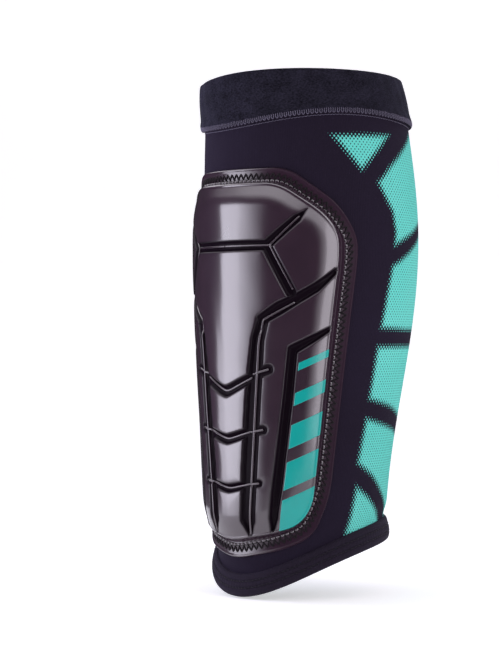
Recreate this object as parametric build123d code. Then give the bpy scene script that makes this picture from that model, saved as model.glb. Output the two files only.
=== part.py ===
"""Sleeve-type shin guard for the left leg: a knit sleeve with a cuff and a hem, and a moulded shell sewn to its front
over foam.

Millimetres. +Z is up the leg, -Y is the front of the shin and +X is the outer side of the leg. The origin is on the
leg's line, level with the lowest point of the hem.

The leg is a stack of near-elliptical sections. A place on it is given as (round, z): the distance round the leg from the
shin line, positive towards the outer side, and the height. "out" is the distance out of the knit's outer face.
"""

from build123d import *
import math
import os

# Leg form: how far the knit's outer face reaches in front of and behind the leg's line
TOP = 285.0
SHIN_ANKLE, SHIN_CALF = 51.0, 56.0
SHIN_STRAIGHT_FROM, SHIN_STRAIGHT_TO = -20.0, 200.0
CALF_ANKLE, CALF_PEAK, CALF_KNEE = 46.0, 67.5, 54.5
CALF_FROM, CALF_PEAK_Z, CALF_TO = 30.0, 195.0, 315.0
WIDTH_TO_DEPTH = 0.96

# Hem line: lowest at the shin, and higher by HEM_LIFT round the back
HEM_LIFT = 29.0
HEM_SPREAD = math.radians(67)
HEM_HEIGHT = 12.5
HEM_ROW_UPPER, HEM_ROW_LOWER = 8.5, 4.9

# Cloth layers
KNIT = 1.6
HEM_PROUD, HEM_INSIDE = 0.9, 2.0
CUFF_FROM, CUFF_PROUD, CUFF_INSIDE = 259.0, 1.6, 2.0
ELASTIC_THICK, ELASTIC_MARGIN = 1.0, 4.0
THREAD = 0.5
CUFF_SEAM_HEIGHT = 2.6
GAP = 0.1

# Pad layers, all as distances out of the knit
SKIN = 1.2
FLANGE_OUT = GAP + SKIN
BACKING_OUT = 2.5
FLOOR_OUT = BACKING_OUT + SKIN
CELL_OUT = 6.2
FILM = 0.3
STITCH_FROM_EDGE, STITCH_WIDTH = 3.0, 3.4
PAD_GIRTH_ALLOWANCE = 1.5

# Outlines on the leg, outer half only, from the top of the shin line round to the bottom of it
FLANGE_HALF = [(37, 232), (66, 212.5), (77, 196), (77.5, 184), (58, 56), (48, 34), (30, 26.5), (0, 20.5)]
DOME_HALF = [(33, 225), (58, 208.5), (66.5, 197), (67, 184), (48.5, 51), (41, 40), (28, 35), (0, 29.5)]
CROWN_HALF = [(33, 223.5), (55, 209), (47, 208.5), (24, 193.3)]
SHIELD_HALF = [(23, 187), (37, 161.5), (24, 153.5), (15, 124), (14.5, 119.5), (0, 115)]
SHOULDER = [(30.5, 190), (47, 207), (57.5, 207.5), (65.3, 196), (65.8, 181), (43, 166)]
RAIL = [(26.5, 148), (63, 173.5), (60, 148.5), (37.5, 137), (24.5, 49), (24, 36), (15.5, 34), (23, 108)]
SIDE = [(42.7, 133.5), (59.8, 144), (57, 118), (47.5, 52), (40, 41), (27, 37), (29.5, 45), (39.6, 110)]
CHEVRON_TOPS = [(14, 113.5, 108.2), (12, 83.5, 82.0), (10.3, 57.5, 55.8)]
CHEVRON_BOTTOMS = [(12.5, 90, 88.7), (10.8, 62.5, 61.2), (9, 34.5, 31.5)]

# Stripe films on the outer side panel: height of the top and bottom edge where they start, and how they rise
STRIPES = [(127.5, 123.3), (111.4, 104.5), (94.3, 81.5), (74.3, 59.2), (54.0, 44.0)]
STRIPE_RISE = 0.46
STRIPE_START, STRIPE_WIDTH, STRIPE_LEAN = 31.3, 15.8, 0.15

# Building blocks larger than the object: the leg form's rings, the wedges' depths and the cutting blocks
RING_STEP, RINGS_BELOW, RINGS_ABOVE = 15.0, 1, 20
WEDGE_NEAR, WEDGE_FAR, WEDGE_STEP = 8.0, 110.0, 12.0
BLOCK_REACH, BLOCK_TOP = 150.0, 400.0
BELOW_HEM, ABOVE_HEM = -5.0, 60.0
HEM_POINTS, HEM_STEP = 10, math.radians(20)
HEM_RUN_ON, HEM_RUN_DOWN = 30.0, 16.0


def swell(z, low, high, low_at, high_at):
    """Half a cosine wave from low at one height to high at another."""
    t = min(max((z - low_at) / (high_at - low_at), 0.0), 1.0)
    return low + (high - low) * (1 - math.cos(math.pi * t)) / 2


def reach(z):
    """How far the knit reaches in front of and behind the leg's line at height z."""
    front = swell(z, SHIN_ANKLE, SHIN_CALF, SHIN_STRAIGHT_FROM, SHIN_STRAIGHT_TO)
    if z < CALF_PEAK_Z:
        back = swell(z, CALF_ANKLE, CALF_PEAK, CALF_FROM, CALF_PEAK_Z)
    else:
        back = swell(z, CALF_KNEE, CALF_PEAK, CALF_TO, CALF_PEAK_Z)
    return front, back


def on_leg(around, z, out=0.0):
    """The point at a distance round the leg from the shin line, a height, and a distance out of the knit."""
    front, back = reach(z)
    depth = (front + back) / 2
    angle = around / (depth + PAD_GIRTH_ALLOWANCE)
    width = WIDTH_TO_DEPTH * depth
    nx, ny = depth * math.sin(angle), -width * math.cos(angle)
    n = math.hypot(nx, ny)
    return Vector(
        width * math.sin(angle) + out * nx / n,
        (back - front) / 2 - depth * math.cos(angle) + out * ny / n,
        z,
    )


def leg(out):
    """The solid leg form, grown outwards by out, past both ends of the sleeve."""
    rings = []
    for step in range(-RINGS_BELOW, RINGS_ABOVE + 1):
        z = step * RING_STEP
        front, back = reach(z)
        depth = (front + back) / 2
        ring = Ellipse(WIDTH_TO_DEPTH * depth + out, depth + out)
        rings.append(Plane.XY.offset(z) * Pos(0, (back - front) / 2) * ring)
    return loft(rings)


LEGS = {}


def layer(inner, outer):
    """The tube between two distances out of the knit."""
    for out in (inner, outer):
        if out not in LEGS:
            LEGS[out] = leg(out)
    return LEGS[outer] - LEGS[inner]


def inset(outline, distance):
    """An outline drawn clockwise, with every side moved inwards by a distance."""
    moved = []
    count = len(outline)
    for i, (px, pz) in enumerate(outline):
        ax, az = outline[i - 1]
        bx, bz = outline[(i + 1) % count]
        n1 = ((pz - az), -(px - ax))
        n2 = ((bz - pz), -(bx - px))
        l1, l2 = math.hypot(*n1), math.hypot(*n2)
        n1, n2 = (n1[0] / l1, n1[1] / l1), (n2[0] / l2, n2[1] / l2)
        bend = 1 + n1[0] * n2[0] + n1[1] * n2[1]
        moved.append((px + distance * (n1[0] + n2[0]) / bend, pz + distance * (n1[1] + n2[1]) / bend))
    return moved


def wedge(outline):
    """The solid that an outline on the leg sweeps as it grows outwards from the leg's line, with z kept."""
    slopes = []
    count = len(outline)
    for i, (ax, az) in enumerate(outline):
        bx, bz = outline[(i + 1) % count]
        steps = max(1, math.ceil(math.hypot(bx - ax, bz - az) / WEDGE_STEP))
        for k in range(steps):
            t = k / steps
            p = on_leg(ax + (bx - ax) * t, az + (bz - az) * t)
            slopes.append((p.X / -p.Y, p.Z))
    faces = []
    for depth in (WEDGE_NEAR, WEDGE_FAR):
        wire = Wire.make_polygon([Vector(s * depth, -depth, z) for s, z in slopes], close=True)
        faces.append(Face(wire))
    return loft(faces, ruled=True)


def both_halves(half):
    """A whole symmetrical outline, clockwise from the inner top corner, from its outer half."""
    return [(-r, z) for r, z in reversed(half) if r > 0] + list(half)


def mirrored(outline):
    """The same outline on the inner side of the leg, still clockwise."""
    return [(-r, z) for r, z in reversed(outline)]


def hem_side(above):
    """Everything higher than the hem line raised by a distance, as a block across the leg."""
    front, back = reach(0)
    depth = (front + back) / 2
    points = []
    for step in range(HEM_POINTS):
        angle = step * HEM_STEP
        lift = HEM_LIFT * (1 - math.exp(-((angle / HEM_SPREAD) ** 2)))
        points.append((0, (back - front) / 2 - depth * math.cos(angle), lift + above))
    ahead = (0, points[0][1] - HEM_RUN_ON, above - HEM_RUN_DOWN)
    behind = (0, points[-1][1] + HEM_RUN_ON, points[-1][2])
    line = Spline([ahead] + points + [behind])
    top = Polyline(behind, (0, behind[1], BLOCK_TOP), (0, ahead[1], BLOCK_TOP), ahead)
    return extrude(Face(Wire([line] + top.edges())), BLOCK_REACH, dir=(1, 0, 0), both=True)


def slab(low, high):
    """Everything between two heights."""
    return Pos(0, 0, (low + high) / 2) * Box(2 * BLOCK_REACH, 2 * BLOCK_REACH, high - low)


def cloth_parts():
    """The sleeve, its cuff and its hem, with their threads."""
    above_hem = hem_side(HEM_HEIGHT)
    from_hem = hem_side(0)
    cuff_solid = layer(-CUFF_INSIDE, CUFF_PROUD) & slab(CUFF_FROM, TOP)
    elastic_out = CUFF_PROUD - ELASTIC_THICK
    elastic = layer(elastic_out - ELASTIC_THICK, elastic_out) & slab(CUFF_FROM + ELASTIC_MARGIN, TOP - ELASTIC_MARGIN)
    seam = slab(CUFF_FROM, CUFF_FROM + CUFF_SEAM_HEIGHT)
    parts = {
        "knit_sleeve": (layer(-KNIT, 0.0) & slab(BELOW_HEM, CUFF_FROM)) & above_hem,
        "cuff_band": cuff_solid - elastic,
        "cuff_elastic": elastic,
        "cuff_seam_thread": layer(CUFF_PROUD, CUFF_PROUD + THREAD) & seam,
        "hem_band": (layer(-HEM_INSIDE, HEM_PROUD) & slab(BELOW_HEM, ABOVE_HEM)) & (from_hem - above_hem),
    }
    for name, row in (("hem_thread_upper", HEM_ROW_UPPER), ("hem_thread_lower", HEM_ROW_LOWER)):
        strip = hem_side(row - THREAD) - hem_side(row + THREAD)
        parts[name] = (layer(HEM_PROUD, HEM_PROUD + THREAD) & slab(BELOW_HEM, ABOVE_HEM)) & strip
    return parts


def foam_outlines():
    """The raised cells of the shell, each with a foam block inside it."""
    cells = {
        "foam_crown": both_halves(CROWN_HALF),
        "foam_shield": both_halves(SHIELD_HALF),
        "foam_shoulder_outer": SHOULDER,
        "foam_shoulder_inner": mirrored(SHOULDER),
        "foam_rail_outer": RAIL,
        "foam_rail_inner": mirrored(RAIL),
        "foam_side_outer": SIDE,
        "foam_side_inner": mirrored(SIDE),
    }
    for i, (top, bottom) in enumerate(zip(CHEVRON_TOPS, CHEVRON_BOTTOMS)):
        (top_r, top_z, top_dip), (low_r, low_z, low_dip) = top, bottom
        outline = [(-top_r, top_z), (0, top_dip), (top_r, top_z), (low_r, low_z), (0, low_dip), (-low_r, low_z)]
        cells[f"foam_chevron_{i + 1}"] = outline
    return cells


def stripe_outlines():
    """The five slanting bars across the outer side panel, thicker downwards, each with its start leaning outwards."""
    bars = []
    for top, bottom in STRIPES:
        corners = []
        for z in (top, bottom):
            start = STRIPE_START + (z - STRIPES[-1][0]) * STRIPE_LEAN
            corners.append(((start, z), (start + STRIPE_WIDTH, z + STRIPE_RISE * STRIPE_WIDTH)))
        bars.append([corners[0][0], corners[0][1], corners[1][1], corners[1][0]])
    return bars


def pad_parts():
    """The shell, the foam in it, the films on it and the thread that sews it on."""
    flange = both_halves(FLANGE_HALF)
    dome = both_halves(DOME_HALF)
    cells = foam_outlines()
    shell = layer(GAP, FLANGE_OUT) & wedge(flange)
    shell += layer(GAP, FLOOR_OUT) & wedge(dome)
    for outline in cells.values():
        shell += layer(FLOOR_OUT - SKIN / 2, CELL_OUT) & wedge(outline)
    shell -= layer(-SKIN, BACKING_OUT) & wedge(inset(dome, SKIN))
    parts = {"foam_backing": layer(GAP, BACKING_OUT - GAP) & wedge(inset(dome, SKIN + GAP))}
    for name, outline in cells.items():
        shell -= layer(BACKING_OUT - SKIN / 2, CELL_OUT - SKIN) & wedge(inset(outline, SKIN))
        parts[name] = layer(BACKING_OUT, CELL_OUT - SKIN - GAP) & wedge(inset(outline, SKIN + GAP))
    parts["outer_shell"] = shell
    films = [layer(CELL_OUT, CELL_OUT + FILM) & wedge(bar) for bar in stripe_outlines()]
    parts["stripe_films"] = Compound([solid for film in films for solid in film.solids()])
    ring = wedge(inset(flange, STITCH_FROM_EDGE)) - wedge(inset(flange, STITCH_FROM_EDGE + STITCH_WIDTH))
    parts["shell_stitch_thread"] = layer(FLANGE_OUT, FLANGE_OUT + THREAD) & ring
    return parts


os.makedirs("parts", exist_ok=True)
for name, shape in {**cloth_parts(), **pad_parts()}.items():
    solids = shape.solids()
    print(name, len(solids), "solid(s)", round(sum(s.volume for s in solids)), "mm3")
    export_step(Compound(solids) if len(solids) > 1 else solids[0], f"parts/{name}.step")
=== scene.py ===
"""Looks of a sleeve-type shin guard for the left leg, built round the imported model.

The guard's sizes are in millimetres and are turned to metres where a mesh is made. The studio's sizes are in
metres. A place on the leg is (around, z, out): the distance round the leg from the shin line, positive to the
outer side; the height; and the distance out of the knit.
"""
import math

import bmesh
import bpy
import numpy as np
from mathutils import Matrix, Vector


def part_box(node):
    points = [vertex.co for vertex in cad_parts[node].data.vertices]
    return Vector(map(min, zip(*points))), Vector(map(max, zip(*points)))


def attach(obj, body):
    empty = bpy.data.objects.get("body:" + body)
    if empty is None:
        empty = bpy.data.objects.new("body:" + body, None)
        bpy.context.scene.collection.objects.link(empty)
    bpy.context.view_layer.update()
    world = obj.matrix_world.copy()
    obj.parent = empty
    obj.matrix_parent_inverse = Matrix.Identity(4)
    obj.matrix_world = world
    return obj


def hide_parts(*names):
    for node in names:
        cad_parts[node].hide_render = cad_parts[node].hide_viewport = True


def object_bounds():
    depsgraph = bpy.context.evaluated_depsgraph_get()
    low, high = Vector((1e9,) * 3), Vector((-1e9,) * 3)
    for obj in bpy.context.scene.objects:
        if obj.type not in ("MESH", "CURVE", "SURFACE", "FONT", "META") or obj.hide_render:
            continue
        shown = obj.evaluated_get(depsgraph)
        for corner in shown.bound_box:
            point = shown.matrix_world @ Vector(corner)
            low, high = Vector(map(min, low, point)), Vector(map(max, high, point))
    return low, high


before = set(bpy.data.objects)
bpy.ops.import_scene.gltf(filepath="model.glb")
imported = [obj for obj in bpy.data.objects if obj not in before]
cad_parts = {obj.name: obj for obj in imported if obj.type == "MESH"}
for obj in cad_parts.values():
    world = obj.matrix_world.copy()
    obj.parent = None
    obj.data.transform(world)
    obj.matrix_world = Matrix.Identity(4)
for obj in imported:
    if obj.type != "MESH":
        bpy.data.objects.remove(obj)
cad_box = [list(corner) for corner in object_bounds()]

MM = 0.001
TAU = 2 * math.pi

# Leg form, as in the model: how far the knit reaches in front of and behind the leg's line
SHIN_ANKLE, SHIN_CALF = 51.0, 56.0
SHIN_FROM, SHIN_TO = -20.0, 200.0
CALF_ANKLE, CALF_PEAK, CALF_KNEE = 46.0, 67.5, 54.5
CALF_FROM, CALF_PEAK_Z, CALF_TO = 30.0, 195.0, 315.0
WIDTH_TO_DEPTH = 0.96
GIRTH_ALLOWANCE = 1.5

# Knit pattern: a staggered lattice of holes, a whole number of them round the leg, and the wales and courses
DOTS_ROUND, DOT_ACROSS, DOT_ROW = 162, 2.2, 1.36
MEAN_RADIUS = DOTS_ROUND * DOT_ACROSS / TAU
WALE, COURSE = 0.95, 0.8

# Cloth: the knit's thickness, how far the sleeve runs on inside the hem and cuff, and the bands' inner faces
KNIT = 1.6
SLEEVE_TUCK = 3.0
BAND_INNER = -2.0
# Hem: the rise and spread of its edge, its height, its two sewn rows, how far its face stands out, how far it
# narrows at the top, and how far and over what spread a row draws it in
HEM_LIFT, HEM_SPREAD = 29.0, math.radians(67)
HEM_HEIGHT = 12.5
HEM_ROWS = {"upper": 8.5, "lower": 4.9}
HEM_PROUD, HEM_WAIST = 0.9, 0.7
ROW_DRAWN, ROW_SPREAD = 0.45, 0.8
# As (size, height over the hem's edge, spread): its bulge, the stitches' pucker and the pinch on the sleeve
HEM_BULGE, HEM_PUCKER, SLEEVE_PINCH = (1.2, 4.0, 4.5), (0.08, 6.7, 3.5), (1.6, 13.5, 5.0)
# Cuff: its rim and its seam, and their bends as (height, angle from the shin line, spread), in radians
TOP = round(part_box("cuff_band")[1][2] / MM, 3)
CUFF_SEAM = 259.6
SEAM_DIP, SEAM_RISE = (4.2, -0.15, 0.75), (3.0, 1.2, 0.72)
RIM_SAG = (3.6, -0.87, 0.87)
# Cuff face: how far it stands out and swells, how far and which way it leans, and the welt over its seam as
# (size, part of the cuff's height, spread)
CUFF_PROUD, CUFF_BULGE = 1.6, 0.8
CUFF_LEAN, CUFF_LEANS_TO = 2.0, -0.76
CUFF_WELT = (0.9, 0.06, 0.12)
# Webbing in the cuff: how far it stays from seam and rim, and its two faces
WEBBING_MARGIN = 4.0
WEBBING_OUTER, WEBBING_INNER = 0.6, -0.4

# Threads: the length of a stitch, the thread's radius, and the points along each stitch
HEM_STITCH, HEM_THREAD, HEM_POINTS = 2.6, 0.26, 10
OVERLOCK_STITCH, OVERLOCK_THREAD, OVERLOCK_POINTS = 2.3, 0.27, 10
NEEDLE_STITCH, NEEDLE_THREAD, NEEDLE_POINTS = 1.9, 0.17, 8
FLANGE_THREAD, ZIGZAG_POINTS, STRAIGHT_POINTS = 0.45, 8, 6
# How high over the flange the middle of each thread lies, and how far the straight row goes up and down
ZIGZAG_LIFT, STRAIGHT_LIFT, STRAIGHT_DIP = 0.16, 0.12, 0.12
# Round the flange: how many stitches and pips there are, and how far in from its edge each row lies
FLANGE_STITCHES = 172
ZIGZAG_OUTER, ZIGZAG_INNER, STRAIGHT_ROW = 3.2, 6.1, 6.7
FLANGE_PIPS, PIPS_ROW, PIP_POINTS = 198, 7.2, 10
# The cord whose crests are the pips: its radius, how far it rises and is sunk, and how uneven it is
PIP_RADIUS, PIP_RISE, PIP_SUNK, PIP_UNEVEN = 0.85, 0.6, 0.5, 0.16

# Shell: heights out of the knit
FLANGE_OUT = 1.3
EDGE_OUT = 3.5
FULL_OUT = 6.2
BEVEL_SLOPE = 0.25
GROOVE_DEPTH, LEDGE_DEPTH = 2.4, 1.1
SHELL_SKIN = 1.2
SHELL_LOW = 0.12
# Finer relief: how far a cell swells away from its grooves and over what distance
CELL_SWELL, SWELL_REACH = 0.15, 2.0
# As (size, distance inside the outline, spread): the piping and the crease along the dome's outline, and the
# roll and the sewn valley along the flange's
PIPING, DOME_CREASE = (0.28, 1.9, 0.55), (0.45, -0.7, 0.55)
FLANGE_ROLL, FLANGE_VALLEY = (0.35, 0.9, 0.6), (0.30, 4.8, 1.9)
# How far inside the dome's outline the grooves start, and over what distance they reach their depth
GROOVE_START, GROOVE_FADE = 0.8, 2.0
# Grid of the outer face, and how many of its cells one cell of the inner face covers each way
SHELL_ROWS, SHELL_COLUMNS, COARSE = 400, 225, 5

# Outlines on the leg, outer half, from the top of the shin line round to the bottom of it
FLANGE_HALF = [(37, 232), (66, 212.5), (77, 196), (77.5, 184), (58, 56), (48, 34), (30, 26.5), (0, 20.5)]
DOME_HALF = [(33, 225), (58, 208.5), (66.5, 197), (67, 184), (48.5, 51), (41, 40), (28, 35), (0, 29.5)]
OUTLINE_TRIM = 9.0

# Grooves between the cells: (around, z, half width) along the middle of each, outer half
GROOVES = [
    [(0, 190.1, 3.0), (27, 190.2, 3.0)],
    [(27.5, 190.5, 2.9), (43.0, 204.2, 2.5), (48.2, 209.2, 0.2)],
    [(27.0, 189.8, 3.2), (39.6, 165.0, 3.2)],
    [(23.8, 150.5, 3.2), (33.5, 156.6, 3.8), (43.3, 162.0, 3.0), (52.5, 167.5, 2.8), (63.6, 176.6, 1.6)],
    [(24.0, 151.0, 3.0), (19.8, 140.0, 2.3), (17.8, 124.5, 2.7), (16.0, 108.0, 3.1), (12.8, 72.0, 3.2),
     (10.7, 43.0, 2.9), (12.6, 33.6, 0.3)],
    [(60.8, 146.2, 1.3), (50.0, 140.2, 2.3), (39.8, 134.5, 2.9), (36.8, 111.0, 3.0), (32.3, 81.4, 3.0),
     (28.8, 58.0, 3.1), (26.8, 44.0, 2.5), (25.6, 36.0, 0.9)],
]
CHEVRONS = [
    [(0, 111.3, 3.1), (16.2, 119.2, 2.9)],
    [(0, 85.6, 2.9), (14.6, 90.2, 2.7)],
    [(0, 59.0, 2.6), (13.2, 62.0, 2.3)],
]
CHEVRON_SOFTNESS = 2.2
# How wide the sloping walls of grooves and ledges are
GROOVE_WALL, LEDGE_WALL = 1.5, 1.2
# Shallow ledges beside the deep channel, with the round-ended notches in line with the chevrons
LEDGES = [
    [(24.5, 150.0, 3.6), (21.5, 140.0, 4.0), (19.7, 124.5, 4.5), (17.8, 108.0, 4.8), (14.6, 72.0, 4.8),
     (12.5, 43.0, 4.6), (13.6, 34.0, 0.6)],
    [(19.5, 121.0, 3.0), (26.8, 124.0, 3.0)],
    [(17.0, 90.4, 2.7), (22.8, 91.6, 2.7)],
    [(15.0, 62.2, 2.3), (19.6, 62.8, 2.3)],
]
# Thin raised beads along the floors of the grooves: how high their middle runs, their radius and their paths
BEAD_LIFT, BEAD_RADIUS = 0.45, 0.65
BEADS = [
    [(0, 190.2), (28.4, 190.2)],
    [(28.4, 190.2), (44.2, 205.4)],
    [(28.4, 190.2), (40.6, 166.6)],
    [(24.2, 150.4), (21.7, 137.0), (19.2, 108.0), (16.7, 79.0), (14.2, 50.0), (13.2, 35.0)],
    [(24.2, 150.4), (33.6, 155.4), (41.5, 159.6)],
    [(17.5, 121.3), (26.8, 124.0)],
    [(15.0, 90.2), (22.8, 91.6)],
    [(13.0, 62.0), (19.6, 62.8)],
]
CHEVRON_BEADS = [
    [(0, 111.6), (17.0, 119.8)],
    [(0, 85.9), (15.2, 90.6)],
    [(0, 59.2), (13.6, 62.3)],
]

# Teal bars: heights of the top and bottom edge at the left end, and how steeply an edge rises to the right
BARS = [(127.5, 123.3), (111.4, 104.5), (94.3, 81.5), (74.3, 59.2), (54.0, None)]
BAR_RISE = 0.46
# The line that the bars start from, how far inside the dome's side they end, and the last bar's bottom edge
BAR_LEFT = [(30.0, 43.0), (43.2, 131.0)]
BAR_MARGIN = 1.5
LAST_BAR_FOOT = [(29.4, 37.6), (43.2, 39.4), (47.6, 54.6)]
# How far the film's face stands out of the shell's, and its back lies under it
FILM_OUT, FILM_UNDER = 0.1, 0.1

# Foam: the longest edge left uncut, the gap under the shell, and how low the backing and blocks are pressed
FOAM_EDGE, FOAM_GAP = 4.0, 0.1
BACKING_LOW, BLOCK_LOW = 0.3, 2.6

# Teal mesh zones of the knit, from the outer side round past the middle of the back, to BACK
BACK = 230.0
TEAL_ZONES = [
    [(60.7, 249.7), (102.3, 251.7), (80.2, 229.9)],
    [(130, 254), (112, 242.5), (101, 234.6), (90.4, 224.7), (95.9, 216.8), (102, 209), (104.5, 198.7),
     (103.6, 190), (133, 201), (BACK, 237), (BACK, 254)],
    [(101.9, 180.2), (97.9, 166.5), (92.6, 145.4), (119, 144.3), (BACK, 144), (BACK, 232), (133, 194.4)],
    [(90.4, 136.7), (84, 107), (104, 102.5), (126, 95.5), (BACK, 60), (BACK, 137.5)],
    [(82.2, 98), (75.6, 72.5), (88.3, 64.6), (103.3, 50.8), (120, 32), (BACK, -60), (BACK, 51), (117, 89.7)],
    [(75, 61.5), (86, 54), (99, 42.3), (101, 35.5), (67, 32.5)],
]

# Studio, in metres
CAMERA_AZIMUTH = math.radians(46.5)
FLOOR_RADIUS = 0.4
LIGHT_DISTANCE = 1.2
STRIP_WIDTH = 0.1
SHIN_TINT, INNER_TINT, OUTER_TINT = "ebe8f6", "dfe0ff", "f4eef8"


# ---------------------------------------------------------------- curves

def smooth(x):
    """The cubic step from 0 to 1."""
    x = np.clip(x, 0, 1)
    return x * x * (3 - 2 * x)


def softer_min(a, b, size):
    """The smaller of two, with a parabola of the given size where they cross."""
    h = np.clip(0.5 + 0.5 * (b - a) / size, 0, 1)
    return b + (a - b) * h - size * h * (1 - h)


def bell(x, width):
    """A bell curve of height one."""
    return np.exp(-(x / width) ** 2)


def ridge(x, size, at, spread):
    """A bell curve of some size at a place."""
    return size * bell(x - at, spread)


def path_length(points):
    """The distance along a path to each of its points."""
    return np.concatenate([[0], np.cumsum(np.linalg.norm(np.diff(points, axis=0), axis=1))])


# ---------------------------------------------------------------- leg form

def swell(z, low, high, low_at, high_at):
    """Half a cosine wave from low at one height to high at another."""
    t = np.clip((z - low_at) / (high_at - low_at), 0, 1)
    return low + (high - low) * (1 - np.cos(np.pi * t)) / 2


def section(z):
    """Half depth and middle of the near-elliptical section of the leg at each height."""
    front = swell(z, SHIN_ANKLE, SHIN_CALF, SHIN_FROM, SHIN_TO)
    below = swell(z, CALF_ANKLE, CALF_PEAK, CALF_FROM, CALF_PEAK_Z)
    above = swell(z, CALF_KNEE, CALF_PEAK, CALF_TO, CALF_PEAK_Z)
    back = np.where(z < CALF_PEAK_Z, below, above)
    return (front + back) / 2, (back - front) / 2


def at_angle(angle, z, out):
    """Points on the section's ellipse at an angle from the shin line, moved out along its normal."""
    angle, z, out = (x.astype(float) for x in np.broadcast_arrays(angle, z, out))
    depth, middle = section(z)
    width = WIDTH_TO_DEPTH * depth
    nx, ny = depth * np.sin(angle), -width * np.cos(angle)
    n = np.hypot(nx, ny)
    return np.stack([width * np.sin(angle) + out * nx / n,
                     middle - depth * np.cos(angle) + out * ny / n, z], axis=-1)


def on_leg(around, z, out):
    """Points at a distance round the leg from the shin line, which the girth there turns to an angle."""
    return at_angle(around / (section(z)[0] + GIRTH_ALLOWANCE), z, out)


def bend(angle, size, at, spread):
    """A bell curve round the leg, with angles taken up to half a turn either way from the shin line."""
    return ridge((angle + np.pi) % TAU - np.pi, size, at, spread)


def hem_line(angle):
    """Height of the hem's edge: zero at the shin and lifted at the back, as one less a bell curve."""
    return HEM_LIFT - bend(angle, HEM_LIFT, 0, HEM_SPREAD)


def cuff_line(angle):
    """Height of the seam under the cuff: bell curves dip it over the shin and raise it at the outer side."""
    return CUFF_SEAM - bend(angle, *SEAM_DIP) + bend(angle, *SEAM_RISE)


def cuff_rim(angle):
    """Height of the cuff's rim, which sags as a bell curve over the inner front."""
    return TOP - bend(angle, *RIM_SAG)


def cuff_face(angle, height):
    """How far the cuff's face stands out of a plain band, and how far the whole cuff leans out there.

    The face swells as a sine from seam to rim, with a welt just over the seam and faint slanting ripples. The
    lean grows evenly with the height and goes round the leg as a cosine.
    """
    up = np.clip((height - cuff_line(angle)) / (cuff_rim(angle) - cuff_line(angle)), 0, 1)
    swelling = CUFF_BULGE * np.sin(np.pi * up) + ridge(up, *CUFF_WELT)
    ripples = 0.16 * np.sin(angle * 23 + 3 * up) * up + 0.10 * np.sin(angle * 41 + 1.3 + 5 * up)
    return swelling + ripples, CUFF_LEAN * np.cos(angle - CUFF_LEANS_TO) * up


def hem_face(above):
    """How far the hem's face stands out of a plain band: a low bulge, less a cubic step at its top."""
    return ridge(above, *HEM_BULGE) - HEM_WAIST * smooth((above - 8.0) / 4.5)


# ---------------------------------------------------------------- distances in the plane of the unrolled leg

def to_segment(ax, az, bx, bz, s, z):
    """Distance from points to a segment, and how far along it the nearest point is, from 0 to 1."""
    dx, dz = bx - ax, bz - az
    t = np.clip(((s - ax) * dx + (z - az) * dz) / (dx * dx + dz * dz), 0, 1)
    return np.hypot(s - ax - t * dx, z - az - t * dz), t


def inside(outline, s, z):
    """Depth inside a closed outline: positive inside, negative outside, counted to the nearest side."""
    near = np.full(s.shape, 1e9)
    crossings = np.zeros(s.shape, bool)
    for (ax, az), (bx, bz) in zip(outline, outline[1:] + outline[:1]):
        near = np.minimum(near, to_segment(ax, az, bx, bz, s, z)[0])
        if az != bz:
            crosses = ((az > z) != (bz > z)) & (s < (bx - ax) * (z - az) / (bz - az) + ax)
            crossings ^= crosses
    return np.where(crossings, near, -near)


def in_strokes(routes, s, z):
    """Depth inside the widest of some tapered strokes, whose half width runs evenly from point to point."""
    depth = np.full(s.shape, -1e9)
    for route in routes:
        for (ax, az, aw), (bx, bz, bw) in zip(route, route[1:]):
            away, t = to_segment(ax, az, bx, bz, s, z)
            depth = np.maximum(depth, aw + (bw - aw) * t - away)
    return depth


def rounded(outline, trim, steps=6):
    """A closed outline with each corner replaced by a quadratic curve that starts trim before it."""
    corners = np.array(outline, float)
    points = []
    for before, corner, after in zip(np.roll(corners, 1, 0), corners, np.roll(corners, -1, 0)):
        a, b = before - corner, after - corner
        la, lb = np.linalg.norm(a), np.linalg.norm(b)
        start = corner + a / la * min(trim, 0.48 * la)
        end = corner + b / lb * min(trim, 0.48 * lb)
        for k in range(steps + 1):
            t = k / steps
            points.append(tuple((1 - t) ** 2 * start + 2 * t * (1 - t) * corner + t * t * end))
    return points


def whole(half):
    """A symmetrical outline from its outer half."""
    return [(-s, z) for s, z in reversed(half) if s > 0] + list(half)


FLANGE = rounded(whole(FLANGE_HALF), OUTLINE_TRIM)
DOME = rounded(whole(DOME_HALF), OUTLINE_TRIM)


def folded(s):
    """Distance from the shin line, rounded there as a hyperbola for the points of the chevrons."""
    return np.hypot(s, CHEVRON_SOFTNESS) - 0.4 * CHEVRON_SOFTNESS


def sunk_depth(s, z):
    """How far the grooves and ledges sink below the cells, and the depth inside the widest of their strokes.

    They have cubic walls down to a flat floor, and end a little inside the dome's outline.
    """
    q = np.abs(s)
    groove = np.maximum(in_strokes(GROOVES, q, z), in_strokes(CHEVRONS, folded(s), z))
    ledge = in_strokes(LEDGES, q, z)
    sunk = np.maximum(GROOVE_DEPTH * smooth(groove / GROOVE_WALL), LEDGE_DEPTH * smooth(ledge / LEDGE_WALL))
    return sunk * smooth((inside(DOME, s, z) - GROOVE_START) / GROOVE_FADE), np.maximum(groove, ledge)


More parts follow.
